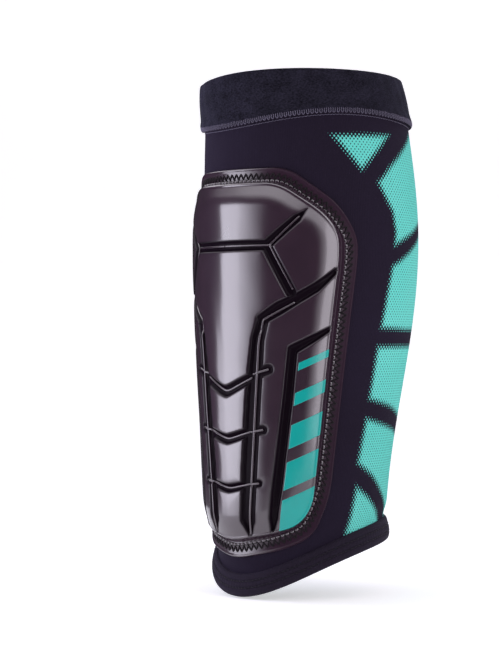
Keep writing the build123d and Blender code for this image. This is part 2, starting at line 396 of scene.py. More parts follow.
def shell_height(s, z):
    """How far the shell's outer face stands out of the knit.

    The flange is flat with a rolled edge and a sewn valley. Inside the dome's outline a short wall rises to a
    bevel, which rises evenly to the flat top. The grooves sink into it, each cell swells a little away from
    them, and slow sines make the film faintly uneven.
    """
    edge = inside(FLANGE, s, z)
    dome = inside(DOME, s, z)
    sunk, groove = sunk_depth(s, z)
    top = softer_min(EDGE_OUT + BEVEL_SLOPE * dome, FULL_OUT, 0.9)
    top = top + CELL_SWELL * (1 - np.exp(np.minimum(groove, 0) / SWELL_REACH))
    top = top + 0.05 * np.sin(s / 7.3 + 0.7) * np.sin(z / 9.1 + 0.4) + 0.02 * np.sin(s / 3.1 + z / 5.2)
    top = top + ridge(dome, *PIPING) - sunk
    flange = FLANGE_OUT + ridge(edge, *FLANGE_ROLL) - ridge(edge, *FLANGE_VALLEY) - ridge(dome, *DOME_CREASE)
    height = flange + (top - flange) * smooth(dome / 1.5)
    return SHELL_LOW + (height - SHELL_LOW) * np.sqrt(smooth((edge + 0.02) / 0.7))


def shading(s, z):
    """How far a place gets the grooves' painted shade, and how far it has lost its gloss, each from 0 to 1.

    The flange is dull where the stitches pucker it, and keeps some gloss over the shin, where it lies flat.
    """
    dome, edge = inside(DOME, s, z), inside(FLANGE, s, z)
    # Painted-shade mask: one in the grooves, fading out just past their walls, inside the dome
    groove = smooth((sunk_depth(s, z)[1] + 1.0) / 1.5) * smooth((dome - GROOVE_START) / GROOVE_FADE)
    side = smooth((np.abs(s) - 8.0) / 26.0)
    sewn = (0.3 + 0.65 * side) * smooth((edge - 0.6 + 1.2 * side) / 1.2) * (1 - smooth((dome + 0.6) / 1.2))
    return groove, np.maximum(groove, sewn)


# ---------------------------------------------------------------- meshes

def smooth_mesh(name, points, faces):
    """A mesh with smooth faces, from points in metres."""
    mesh = bpy.data.meshes.new(name)
    mesh.from_pydata(points.reshape(-1, 3).tolist(), [], faces)
    mesh.polygons.foreach_set("use_smooth", np.ones(len(mesh.polygons), bool))
    return mesh


def new_object(name, mesh, material):
    """An object whose mesh has the one material."""
    mesh.materials.clear()
    mesh.materials.append(material)
    mesh.update()
    piece = bpy.data.objects.new(name, mesh)
    bpy.context.scene.collection.objects.link(piece)
    return piece


def add_mesh(name, points, faces, material, uv=None, values=None):
    """A smooth mesh object from points in millimetres.

    uv has a pair for each face corner, and values has numbers for each point.
    """
    faces = faces.tolist() if isinstance(faces, np.ndarray) else faces
    mesh = smooth_mesh(name, points * MM, faces)
    if uv is not None:
        layer = mesh.uv_layers.new(name="cloth")
        layer.data.foreach_set("uv", np.asarray(uv, np.float32).ravel() * MM)
    for key, numbers in (values or {}).items():
        attribute = mesh.attributes.new(key, "FLOAT", "POINT")
        attribute.data.foreach_set("value", np.asarray(numbers, np.float32).ravel())
    piece = new_object(name, mesh, material)
    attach(piece, "root")
    return piece


def quads(numbers):
    """The quads between neighbouring points of a grid of point numbers."""
    corners = [numbers[:-1, :-1], numbers[:-1, 1:], numbers[1:, 1:], numbers[1:, :-1]]
    return np.stack(corners, -1).reshape(-1, 4)


def band(name, columns, loop, material, with_teal=False):
    """A closed band of cloth round the leg.

    loop(angles) gives the heights and distances out of its closed cross-section, one row for each point, from
    the bottom of the outer face up, over the top, down the inner face and round. U is the angle at the mean
    radius, so the knit stretches with the girth, and V is the height plus the distance out, so it also runs
    over the rims.
    """
    angles = np.linspace(-np.pi, np.pi, columns + 1)
    heights, outs = (np.broadcast_to(x, (len(x), columns + 1)) for x in loop(angles))
    heights, outs = np.vstack([heights, heights[:1]]), np.vstack([outs, outs[:1]])
    rows = len(heights) - 1
    numbers = (np.arange(rows + 1) % rows)[:, None] * columns + (np.arange(columns + 1) % columns)[None, :]
    places = np.arange((rows + 1) * (columns + 1)).reshape(rows + 1, columns + 1)
    uv = np.stack([np.broadcast_to(angles * MEAN_RADIUS, heights.shape), heights + outs], -1).reshape(-1, 2)
    values = {}
    if with_teal:
        s = np.abs(angles[None, :] * (section(heights)[0] + GIRTH_ALLOWANCE))
        depth = np.max([inside(zone, s, heights) for zone in TEAL_ZONES], axis=0)
        values["teal_depth"] = depth[:rows, :columns]
    points = at_angle(angles, heights, outs)[:rows, :columns]
    return add_mesh(name, points, quads(numbers), material, uv=uv[quads(places)], values=values)


def tube(name, paths, radius, material, closed=False, sides=6):
    """Round threads along paths: each point has a ring square to the path, its first spoke across the leg."""
    points, faces, first = [], [], 0
    turn = np.arange(sides) / sides * TAU
    for path in paths:
        path = np.asarray(path, float)
        ahead = np.roll(path, -1, 0) - np.roll(path, 1, 0)
        if not closed:
            ahead[0], ahead[-1] = path[1] - path[0], path[-1] - path[-2]
        ahead /= np.linalg.norm(ahead, axis=1, keepdims=True)
        across = np.cross(ahead, path * [1, 1, 0])
        across /= np.linalg.norm(across, axis=1, keepdims=True)
        lift = np.cross(across, ahead)
        ring = across[:, None] * np.cos(turn)[None, :, None] + lift[:, None] * np.sin(turn)[None, :, None]
        points.append((path[:, None] + radius * ring).reshape(-1, 3))
        count = len(path)
        numbers = np.arange(count * sides).reshape(count, sides) + first
        numbers = np.hstack([numbers, numbers[:, :1]])
        if closed:
            numbers = np.vstack([numbers, numbers[:1]])
        faces += quads(numbers)[:, ::-1].tolist()
        if not closed:
            faces += [numbers[0, :sides].tolist(), numbers[-1, :sides][::-1].tolist()]
        first += count * sides
    return add_mesh(name, np.vstack(points), faces, material)


# ---------------------------------------------------------------- materials

def colour(code):
    """An sRGB hex colour as linear red, green, blue and alpha."""
    parts = [int(code[i:i + 2], 16) / 255 for i in (0, 2, 4)]
    return tuple(c / 12.92 if c <= 0.04045 else ((c + 0.055) / 1.055) ** 2.4 for c in parts) + (1.0,)


def add(material, kind, inputs=None, out=0, **settings):
    """Adds a node with its settings and returns one output. An input is a value or an output to link."""
    node = material.node_tree.nodes.new(kind)
    for key, value in settings.items():
        setattr(node, key, value)
    for key, value in (inputs or {}).items():
        if isinstance(value, bpy.types.NodeSocket):
            material.node_tree.links.new(value, node.inputs[key])
        else:
            node.inputs[key].default_value = value
    return node.outputs[out]


def new_material(name, sockets):
    """A material with one shader, whose sockets have the given values."""
    material = bpy.data.materials.new(name)
    material.use_nodes = True
    for key, value in sockets.items():
        material.node_tree.nodes["Principled BSDF"].inputs[key].default_value = value
    return material


def surface(material, sockets):
    """Links outputs to the shader's sockets."""
    for key, output in sockets.items():
        material.node_tree.links.new(output, material.node_tree.nodes["Principled BSDF"].inputs[key])
    return material


def two_toned(material, pattern, dark, light, strength, depth):
    """Finishes a material whose tone and relief follow one pattern, the relief's depth in millimetres."""
    tone = add(material, "ShaderNodeMix", {0: pattern, 6: colour(dark), 7: colour(light)}, out=2,
               data_type="RGBA")
    bump = add(material, "ShaderNodeBump", {"Height": pattern, "Strength": strength, "Distance": depth * MM})
    return surface(material, {"Base Color": tone, "Normal": bump})


def film_ripple(material, place):
    """The faint unevenness of film over foam, with its bumps about 6 mm apart."""
    ripple = add(material, "ShaderNodeTexNoise", {"Vector": place, "Scale": 160.0, "Detail": 2.0})
    return add(material, "ShaderNodeBump", {"Height": ripple, "Strength": 0.035, "Distance": 0.001})


def moulded_tpu():
    """Thermoplastic polyurethane film, vacuum moulded over foam: a soft dark gloss, faintly uneven.

    In the grooves the colour is mixed towards near black as painted shade, and the film keeps little of
    its gloss there. The stitches dull it along the flange.
    """
    material = new_material("moulded_tpu", {"IOR": 1.52, "Coat Roughness": 0.15, "Coat IOR": 1.8})
    place = add(material, "ShaderNodeTexCoord", out="Object")
    cloud = add(material, "ShaderNodeTexNoise", {"Vector": place, "Scale": 55.0, "Detail": 3.0})
    tone = add(material, "ShaderNodeMix", {0: cloud, 6: colour("271a25"), 7: colour("32222e")}, out=2,
               data_type="RGBA")
    # The groove attribute is a painted-shade mask: it marks the grooves, where shade falls
    groove = add(material, "ShaderNodeAttribute", out="Fac", attribute_name="groove")
    dull = add(material, "ShaderNodeAttribute", out="Fac", attribute_name="dull")
    # Painted shade: the colour is mixed towards near black where the groove mask is one
    tone = add(material, "ShaderNodeMix", {0: groove, 6: tone, 7: colour("140d14")}, out=2, data_type="RGBA")
    gloss = add(material, "ShaderNodeMapRange", {"Value": dull, "To Min": 1.0, "To Max": 0.04})
    shine = add(material, "ShaderNodeMapRange", {"Value": dull, "To Min": 0.16, "To Max": 0.0})
    rough = add(material, "ShaderNodeMapRange", {"Value": cloud, "To Min": 0.24, "To Max": 0.36})
    rough = add(material, "ShaderNodeMath", {0: dull, 1: 0.25, 2: rough}, operation="MULTIPLY_ADD")
    return surface(material, {"Base Color": tone, "Roughness": rough, "Specular IOR Level": shine,
                              "Coat Weight": gloss, "Normal": film_ripple(material, place)})


def teal_film():
    """Polyurethane film, printed and heat-bonded to the shell: an even teal under the same gloss."""
    material = new_material("teal_film", {
        "Roughness": 0.32, "Specular IOR Level": 0.1, "Coat Weight": 0.8, "Coat Roughness": 0.15})
    place = add(material, "ShaderNodeTexCoord", out="Object")
    cloud = add(material, "ShaderNodeTexNoise", {"Vector": place, "Scale": 90.0, "Detail": 3.0})
    tone = add(material, "ShaderNodeMix", {0: cloud, 6: colour("008f87"), 7: colour("029f96")}, out=2,
               data_type="RGBA")
    return surface(material, {"Base Color": tone, "Normal": film_ripple(material, place)})


def cloth_waves(material, place, shape, lengths):
    """A wave round the leg and one along it, sines or cosines, that repeat over these lengths of cloth."""
    waves = []
    for axis, length in enumerate(lengths):
        way = add(material, "ShaderNodeSeparateXYZ", {0: place}, out=axis)
        turn = add(material, "ShaderNodeMath", {0: way, 1: TAU / (length * MM)}, operation="MULTIPLY")
        waves.append(add(material, "ShaderNodeMath", {0: turn}, operation=shape))
    return waves


def knit_height(material, place):
    """The relief of a fine knit: wales and weaker courses, each a sine without its sign, and fluff."""
    waves = [add(material, "ShaderNodeMath", {0: wave}, operation="ABSOLUTE")
             for wave in cloth_waves(material, place, "SINE", (2 * WALE, 2 * COURSE))]
    height = add(material, "ShaderNodeMath", {0: waves[1], 1: 0.35, 2: waves[0]}, operation="MULTIPLY_ADD")
    body = add(material, "ShaderNodeTexCoord", out="Object")
    fluff = add(material, "ShaderNodeTexNoise", {"Vector": body, "Scale": 1400.0, "Detail": 3.0})
    return add(material, "ShaderNodeMath", {0: fluff, 1: 0.8, 2: height}, operation="MULTIPLY_ADD")


def compression_knit():
    """Nylon and elastane warp knit: matt navy-black with fine upright wales, and jacquard teal mesh zones.

    The wales are drawn at about twice their real spacing, because the real ones are too fine to show. The
    mesh is a staggered lattice of dark holes in teal yarn, which closes to the plain knit at a zone's edge.
    """
    material = new_material("compression_knit", {
        "Roughness": 0.8, "Sheen Weight": 0.06, "Sheen Roughness": 0.45, "Sheen Tint": colour("8f8da6"),
        "Specular IOR Level": 0.05})
    place = add(material, "ShaderNodeUVMap", uv_map="cloth")
    height = knit_height(material, place)
    body = add(material, "ShaderNodeTexCoord", out="Object")
    broad = add(material, "ShaderNodeTexNoise", {"Vector": body, "Scale": 18.0, "Detail": 2.0})
    ground = add(material, "ShaderNodeMix", {0: broad, 6: colour("1b1520"), 7: colour("201a29")}, out=2,
                 data_type="RGBA")
    yarn = add(material, "ShaderNodeMix", {0: broad, 6: colour("57c6b8"), 7: colour("72d3c6")}, out=2,
               data_type="RGBA")
    waves = cloth_waves(material, place, "COSINE", (DOT_ACROSS, 2 * DOT_ROW))
    lattice = add(material, "ShaderNodeMath", {0: waves[0], 1: waves[1]}, operation="MULTIPLY")
    depth = add(material, "ShaderNodeAttribute", out="Fac", attribute_name="teal_depth")
    opening = add(material, "ShaderNodeMapRange", {"Value": depth, "From Min": -1.6, "From Max": 3.4,
                                                   "To Min": -1.15, "To Max": 0.62})
    shows = add(material, "ShaderNodeMath", {0: opening, 1: lattice}, operation="SUBTRACT")
    mask = add(material, "ShaderNodeMapRange", {"Value": shows, "From Min": -0.13, "From Max": 0.13})
    tone = add(material, "ShaderNodeMix", {0: mask, 6: ground, 7: yarn}, out=2, data_type="RGBA")
    raised = add(material, "ShaderNodeMath", {0: mask, 1: 0.7, 2: height}, operation="MULTIPLY_ADD")
    bump = add(material, "ShaderNodeBump", {"Height": raised, "Strength": 0.55, "Distance": 0.00022})
    return surface(material, {"Base Color": tone, "Normal": bump})


def hem_knit():
    """The same nylon and elastane knit folded double for the hem: matt and dark, with no teal in it."""
    material = new_material("hem_knit", {
        "Roughness": 0.85, "Sheen Weight": 0.10, "Sheen Roughness": 0.45, "Sheen Tint": colour("8f8da6"),
        "Specular IOR Level": 0.1})
    place = add(material, "ShaderNodeUVMap", uv_map="cloth")
    return two_toned(material, knit_height(material, place), "100c14", "201a26", strength=0.7, depth=0.25)


def plush_elastic():
    """Elastic with a brushed plush face: a short soft pile that catches light at its edges."""
    material = new_material("plush_elastic", {
        "Roughness": 0.95, "Sheen Weight": 0.16, "Sheen Roughness": 0.35, "Sheen Tint": colour("7d7f99"),
        "Specular IOR Level": 0.05})
    place = add(material, "ShaderNodeTexCoord", out="Object")
    combed = add(material, "ShaderNodeMapping", {"Vector": place, "Scale": (1.0, 1.0, 1.7)})
    pile = add(material, "ShaderNodeTexNoise", {"Vector": combed, "Scale": 900.0, "Detail": 5.0})
    tufts = add(material, "ShaderNodeTexNoise", {"Vector": combed, "Scale": 90.0, "Detail": 3.0})
    blend = add(material, "ShaderNodeMath", {0: tufts, 1: 0.4, 2: pile}, operation="MULTIPLY_ADD")
    shade = add(material, "ShaderNodeMapRange", {"Value": blend, "From Min": 0.48, "From Max": 0.92})
    tone = add(material, "ShaderNodeMix", {0: shade, 6: colour("0d0c12"), 7: colour("292733")}, out=2,
               data_type="RGBA")
    bump = add(material, "ShaderNodeBump", {"Height": blend, "Strength": 0.9, "Distance": 0.0006})
    return surface(material, {"Base Color": tone, "Normal": bump})


def sewing_thread(name, dark, light):
    """Twisted polyester thread: a slight sheen, with the twist as fine slanting bands."""
    material = new_material(name, {"Roughness": 0.6, "Sheen Weight": 0.05, "Specular IOR Level": 0.12})
    place = add(material, "ShaderNodeTexCoord", out="Object")
    twist = add(material, "ShaderNodeTexWave", {"Vector": place, "Scale": 700.0, "Distortion": 1.5}, out=1,
                bands_direction="DIAGONAL")
    return two_toned(material, twist, dark, light, strength=0.5, depth=0.2)


def eva_foam():
    """Closed-cell EVA foam, die cut from sheet: matt charcoal with a fine pored skin."""
    material = new_material("eva_foam", {"Roughness": 0.9, "Specular IOR Level": 0.25})
    place = add(material, "ShaderNodeTexCoord", out="Object")
    cells = add(material, "ShaderNodeTexVoronoi", {"Vector": place, "Scale": 1100.0})
    return two_toned(material, cells, "1f1f24", "3a3a42", strength=0.6, depth=0.4)


def elastic_webbing():
    """Woven elastic: matt black with a tight rib across the band."""
    material = new_material("elastic_webbing", {"Roughness": 0.8})
    place = add(material, "ShaderNodeTexCoord", out="Object")
    rib = add(material, "ShaderNodeTexWave", {"Vector": place, "Scale": 320.0}, out=1, bands_direction="Z")
    return two_toned(material, rib, "0e0e12", "26262c", strength=0.7, depth=0.4)


def seamless_paper(shade):
    """Matt seamless paper for the floor and backdrop: an even pale tone with a barely visible tooth."""
    material = new_material("seamless_paper", {
        "Roughness": 1.0, "Specular IOR Level": 0.0, "Emission Color": colour("ffffff"),
        "Emission Strength": 0.45})
    place = add(material, "ShaderNodeTexCoord", out="Object")
    tooth = add(material, "ShaderNodeTexNoise", {"Vector": place, "Scale": 300.0, "Detail": 2.0})
    tone = add(material, "ShaderNodeMix", {0: tooth, 6: colour(shade), 7: colour("ffffff")}, out=2,
               data_type="RGBA")
    return surface(material, {"Base Color": tone})


# ---------------------------------------------------------------- cloth

def cross_section(low, high, outer, inner, walls, turns):
    """A closed loop of a cloth wall with round top and bottom edges, as heights and distances out.

    The rounds are half ellipses as deep as half the wall is thick; walls are the numbers of points up and
    down the faces, and turns is the number of points over each round.
    """
    def loop(angles):
        lo, hi = low(angles)[None, :], high(angles)[None, :]
        mid, half = (outer + inner) / 2, (outer - inner) / 2
        up = np.linspace(0, 1, walls[0])[:, None]
        down = np.linspace(1, 0, walls[1])[:, None]
        turn = np.linspace(0, np.pi, turns + 2)[1:-1, None]
        heights = [lo + half + (hi - lo - 2 * half) * up, hi - half + half * np.sin(turn) + 0 * lo,
                   lo + half + (hi - lo - 2 * half) * down, lo + half - half * np.sin(turn)]
        outs = [outer + 0 * up, mid + half * np.cos(turn), inner + 0 * down, mid - half * np.cos(turn)]
        return np.vstack(heights), np.vstack(outs)
    return loop


def knit_sleeve(material):
    """The sleeve: the leg form's knit wall, from inside the hem to inside the cuff, pinched over the hem."""
    plain = cross_section(lambda a: hem_line(a) + HEM_HEIGHT - SLEEVE_TUCK,
                          lambda a: cuff_line(a) + SLEEVE_TUCK, 0.0, -KNIT, walls=(170, 60), turns=3)

    def loop(angles):
        heights, outs = plain(angles)
        return heights, outs - ridge(heights - hem_line(angles), *SLEEVE_PINCH)
    piece = band("compression_sleeve", 2 * DOTS_ROUND, loop, material, with_teal=True)
    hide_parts("knit_sleeve")


def plush_cuff(material):
    """The cuff: a leaning plush band with a full round rim, whose outer face swells between seam and rim."""
    plain = cross_section(cuff_line, cuff_rim, CUFF_PROUD, BAND_INNER, walls=(40, 20), turns=11)

    def loop(angles):
        heights, outs = plain(angles)
        proud, lean = cuff_face(angles, heights)
        return heights, outs + proud * np.clip(outs / CUFF_PROUD, 0, 1) + lean
    piece = band("plush_cuff", 360, loop, material)
    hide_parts("cuff_band")


def elastic_strip(material):
    """The webbing held inside the cuff, which leans and sags with it."""
    plain = cross_section(lambda a: cuff_line(a) + WEBBING_MARGIN, lambda a: cuff_rim(a) - WEBBING_MARGIN,
                          WEBBING_OUTER, WEBBING_INNER, walls=(10, 10), turns=3)

    def loop(angles):
        heights, outs = plain(angles)
        return heights, outs + cuff_face(angles, heights)[1]
    piece = band("elastic_strip", 240, loop, material)
    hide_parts("cuff_elastic")


def folded_hem(material):
    """The hem: the knit folded double and sewn through along two rows, where its face is drawn in."""
    plain = cross_section(hem_line, lambda a: hem_line(a) + HEM_HEIGHT, HEM_PROUD, BAND_INNER, walls=(34, 12),
                          turns=5)

    def loop(angles):
        heights, outs = plain(angles)
        above = heights - hem_line(angles)
        drawn = sum(ridge(above, ROW_DRAWN, row, ROW_SPREAD) for row in HEM_ROWS.values())
        pucker = ridge(above, *HEM_PUCKER) * np.sin(angles * MEAN_RADIUS * TAU / HEM_STITCH)
        on_face = outs > 0.4
        return heights, outs + hem_face(above) + (pucker - drawn) * on_face
    piece = band("folded_hem", 480, loop, material)
    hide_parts("hem_band")


# ---------------------------------------------------------------- threads

def round_leg(pitch, points):
    """Angles right round the leg in whole stitches, and how far through its stitch each is, as an angle."""
    count = round(TAU * MEAN_RADIUS / pitch)
    phase = np.arange(count * points) / points * TAU
    return phase / count, phase


def hem_threads(material):
    """Coverstitch rows: each stitch rises from the drawn-in line of the hem and dips back into it."""
    sway, sunk, rise = 0.10, 0.62, 0.45
    for place, row in HEM_ROWS.items():
        angles, phase = round_leg(HEM_STITCH, HEM_POINTS)
        heights = hem_line(angles) + row + sway * np.sin(phase)
        outs = HEM_PROUD + hem_face(row) - sunk + rise * np.abs(np.sin(phase / 2)) ** 0.7
        path = at_angle(angles, heights, outs)
        piece = tube(f"hem_stitch_{place}", [path], HEM_THREAD, material, closed=True)
        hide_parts(f"hem_thread_{place}")


def cuff_threads(material):
    """Overlock loops over the cuff's lower edge, and the needle row just under them.

    A loop is a slanting sine up and down the seam. It stands out over the edge as half a sine of its height,
    and goes in at both ends.
    """
    middle, reach, slant = 0.7, 1.6, 0.3
    angles, phase = round_leg(OVERLOCK_STITCH, OVERLOCK_POINTS)
    above = middle - reach * np.cos(phase)
    heights = cuff_line(angles) + above
    outs = 1.5 + np.sin((above + 1.2) / 4.2 * np.pi).clip(0, 1)
    angles = angles + slant / MEAN_RADIUS * np.sin(phase * 2)
    loops = at_angle(angles, heights, outs)
    piece = tube("cuff_overlock", [loops], OVERLOCK_THREAD, material, closed=True, sides=5)
    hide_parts("cuff_seam_thread")
    below, sway, rise = 1.9, 0.12, 0.14
    angles, phase = round_leg(NEEDLE_STITCH, NEEDLE_POINTS)
    heights = cuff_line(angles) - below + sway * np.sin(phase)
    row = at_angle(angles, heights, rise * np.abs(np.sin(phase / 2)))
    piece = tube("cuff_needle_row", [row], NEEDLE_THREAD, material, closed=True, sides=5)


def inset_path(outline, distance, count):
    """Points evenly spaced along a clockwise outline moved inwards along its normals."""
    points = np.array(outline + outline[:1], float)
    ahead = np.roll(points[:-1], -1, 0) - np.roll(points[:-1], 1, 0)
    ahead /= np.linalg.norm(ahead, axis=1, keepdims=True)
    moved = points[:-1] + distance * np.stack([ahead[:, 1], -ahead[:, 0]], -1)
    moved = np.vstack([moved, moved[:1]])
    length = path_length(moved)
    at = np.arange(count) / count * length[-1]
    return np.interp(at, length, moved[:, 0]), np.interp(at, length, moved[:, 1])


def shell_threads(material):
    """The zigzag that sews the flange on and the straight row inside it, both lying on the flange.

    The zigzag is a triangle wave between two insets, with its turns partly rounded by the cubic step.
    """
    count = FLANGE_STITCHES * ZIGZAG_POINTS
    near, far = inset_path(FLANGE, ZIGZAG_OUTER, count), inset_path(FLANGE, ZIGZAG_INNER, count)
    swing = np.abs(((np.arange(count) / ZIGZAG_POINTS) % 1) * 2 - 1)
    swing = smooth(swing) * 0.4 + swing * 0.6
    s = near[0] + (far[0] - near[0]) * swing
    z = near[1] + (far[1] - near[1]) * swing
    zigzag = on_leg(s, z, shell_height(s, z) + ZIGZAG_LIFT)
    count = FLANGE_STITCHES * STRAIGHT_POINTS
    s, z = inset_path(FLANGE, STRAIGHT_ROW, count)
    dip = STRAIGHT_DIP * np.cos(np.arange(count) / STRAIGHT_POINTS * TAU)
    straight = on_leg(s, z, shell_height(s, z) + STRAIGHT_LIFT + dip)
    piece = tube("flange_stitch", [zigzag, straight], FLANGE_THREAD, material, closed=True, sides=5)
    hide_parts("shell_stitch_thread")


def flange_pips(material):
    """The film's low glossy bulges between the stitches, in a row at the foot of the dome.

    They are the crests of a round cord that goes up and down as a sine. A slower sine makes them uneven.
    """
    count = FLANGE_PIPS * PIP_POINTS
    s, z = inset_path(FLANGE, PIPS_ROW, count)
    turns = np.arange(count) / PIP_POINTS * TAU
    rise = PIP_RISE * np.cos(turns) - PIP_SUNK + PIP_UNEVEN * np.sin(turns * 83 / FLANGE_PIPS)
    piece = tube("flange_pips", [on_leg(s, z, shell_height(s, z) + rise)], PIP_RADIUS, material, closed=True)


# ---------------------------------------------------------------- shell

def shell_grid():
    """Places (around, z) of the shell's grid.

    Rows run across the shell, spaced closer towards the top and bottom by a sine, and each row's points are
    spread evenly over the flange's width at that height.
    """
    half = [(s, z) for s, z in FLANGE if s > 0.3]
    widths, heights = np.array(half).T
    t = np.linspace(0, 1, SHELL_ROWS + 1)
    t = t - 0.3 * np.sin(TAU * t) / TAU
    z = heights[0] + (heights[-1] - heights[0]) * t
    width = np.interp(z, heights[::-1], widths[::-1])
    u = np.linspace(-1, 1, SHELL_COLUMNS + 1)
    return u[None, :] * width[:, None], np.broadcast_to(z[:, None], (SHELL_ROWS + 1, SHELL_COLUMNS + 1))


def underside(s, z):
    """The shell's inner face: a skin's thickness under the lowest place within reach of each point."""
    reach = 2.6
    lowest = np.full(np.shape(s), 1e9)
    for ds in (-reach, 0, reach):
        for dz in (-reach, 0, reach):
            lowest = np.minimum(lowest, shell_height(s + ds, z + dz))
    return np.maximum(lowest - SHELL_SKIN, SHELL_LOW)


def outer_shell(material):
    """The moulded shell: a fine grid for its outer face, and a coarse one inside that ends on its rim."""
    s, z = shell_grid()
    outs = shell_height(s, z)
    outs[[0, -1], :] = SHELL_LOW
    outs[:, [0, -1]] = SHELL_LOW
    fine = np.arange(s.size).reshape(s.shape)
    coarse = fine[::COARSE, ::COARSE].copy()
    inner = coarse[1:-1, 1:-1]
    inner[:] = s.size + np.arange(inner.size).reshape(inner.shape)
    low_s, low_z = s[::COARSE, ::COARSE][1:-1, 1:-1], z[::COARSE, ::COARSE][1:-1, 1:-1]
    points = np.vstack([on_leg(s, z, outs).reshape(-1, 3),
                        on_leg(low_s, low_z, underside(low_s, low_z)).reshape(-1, 3)])
    faces = quads(fine[:, ::-1]).tolist() + rim_cells(fine, coarse) + quads(coarse[1:-1, 1:-1]).tolist()
    # The groove values are the painted-shade mask for the grooves' colour; dull only takes away gloss
    groove, dull = (np.concatenate([x.ravel(), np.zeros(low_s.size)]) for x in shading(s, z))
    piece = add_mesh("moulded_shell", points, faces, material, values={"groove": groove, "dull": dull})
    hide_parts("outer_shell")


def rim_cells(fine, coarse):
    """The coarse faces along the rim, each with all the fine points of the rim between its corners."""
    rows, columns = coarse.shape[0] - 1, coarse.shape[1] - 1

    def side(a, b):
        """The point numbers from one corner of a cell up to the next, with the rim's fine points between."""
        (i, j), (k, m) = a, b
        on_rim = (i == k and i in (0, rows)) or (j == m and j in (0, columns))
        if not on_rim:
            return [int(coarse[i, j])]
        steps = [(i * COARSE + (k - i) * n, j * COARSE + (m - j) * n) for n in range(COARSE)]
        return [int(fine[p, q]) for p, q in steps]

    cells = [(i, j) for i in range(rows) for j in range(columns)
             if i in (0, rows - 1) or j in (0, columns - 1)]
    faces = []
    for i, j in cells:
        corners = [(i, j), (i, j + 1), (i + 1, j + 1), (i + 1, j)]
        faces.append([n for a, b in zip(corners, corners[1:] + corners[:1]) for n in side(a, b)])
    return faces


def along(route, step=0.8):
    """Points evenly spaced along a route."""
    points = np.array(route, float)
    length = path_length(points)
    at = np.linspace(0, length[-1], max(3, math.ceil(length[-1] / step)))
    return np.interp(at, length, points[:, 0]), np.interp(at, length, points[:, 1])


def shell_beads(material):
    """The thin raised beads moulded along the floors of the grooves, on both halves of the shell."""
    routes = []
    for route in BEADS:
        s, z = along(route)
        routes += [(s, z), (-s, z)]
    for (_, low), (end, high) in CHEVRON_BEADS:
        s = np.linspace(-end, end, 41)
        routes.append((s, low + (high - low) / end * folded(s)))
    paths = [on_leg(s, z, shell_height(s, z) + BEAD_LIFT) for s, z in routes]
    piece = tube("shell_beads", paths, BEAD_RADIUS, material, sides=8)


def curve(a, b, c, t):
    """A quadratic curve from a towards b to c."""
    a, b, c = (np.array(p, float)[:, None] for p in (a, b, c))
    return (1 - t) ** 2 * a + 2 * t * (1 - t) * b + t * t * c


def bar_edges(top, bottom):
    """The lower and upper edge of a bar, each as the three points of a quadratic curve.

    An edge is straight, from the bars' starting line to a little inside the long side of the dome, except the
    last bar's lower edge, which follows the dome's corner.
    """
    edges = []
    (s1, z1), (s2, z2) = DOME_HALF[4], DOME_HALF[3]
    lean = (s2 - s1) / (z2 - z1)
    starts, heights = zip(*BAR_LEFT)
    for z in (bottom, top):
        if z is None:
            edges.append(LAST_BAR_FOOT)
            continue
        start = np.interp(z, heights, starts)
        run = (s1 - BAR_MARGIN + lean * (z - z1) - start) / (1 - lean * BAR_RISE)
        edges.append([(start + run * t, z + BAR_RISE * run * t) for t in (0, 0.5, 1)])
    return edges


def stripe_films(material):
    """The five bars: thin films over the shell's outer face, spread between a lower and an upper edge."""
    points, faces, first = [], [], 0
    t = np.linspace(0, 1, 41)
    v = np.linspace(0, 1, 31)[:, None]
    for top, bottom in BARS:
        lower, upper = (curve(*edge, t) for edge in bar_edges(top, bottom))
        s, z = (lower[k][None, :] * (1 - v) + upper[k][None, :] * v for k in (0, 1))
        height = shell_height(s, z)
        points += [on_leg(s, z, height + out).reshape(-1, 3) for out in (FILM_OUT, -FILM_UNDER)]
        front = np.arange(s.size).reshape(s.shape) + first
        back = front + s.size
        faces += quads(front).tolist() + quads(back[:, ::-1]).tolist()
        ring = [np.concatenate([n[0], n[1:, -1], n[-1, -2::-1], n[-2::-1, 0]]) for n in (front, back)]
        faces += quads(np.stack(ring)[:, ::-1]).tolist()
        first += 2 * s.size
    piece = add_mesh("teal_bars", np.vstack(points), faces, material)
    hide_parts("stripe_films")


# ---------------------------------------------------------------- foam

def places_of(points):
    """The angle and distance out of points, found by dropping each to the leg and turning it, four times."""
    depth, middle = section(points[:, 2])
    width = WIDTH_TO_DEPTH * depth
    flat = points.copy()
    out = np.zeros(len(points))
    for _ in range(4):
        angle = np.arctan2(flat[:, 0] / width, (middle - flat[:, 1]) / depth)
        foot = at_angle(angle, points[:, 2], 0)
        normal = at_angle(angle, points[:, 2], 1) - foot
        out = ((points - foot) * normal).sum(1)
        flat = points - out[:, None] * normal
    return angle, out


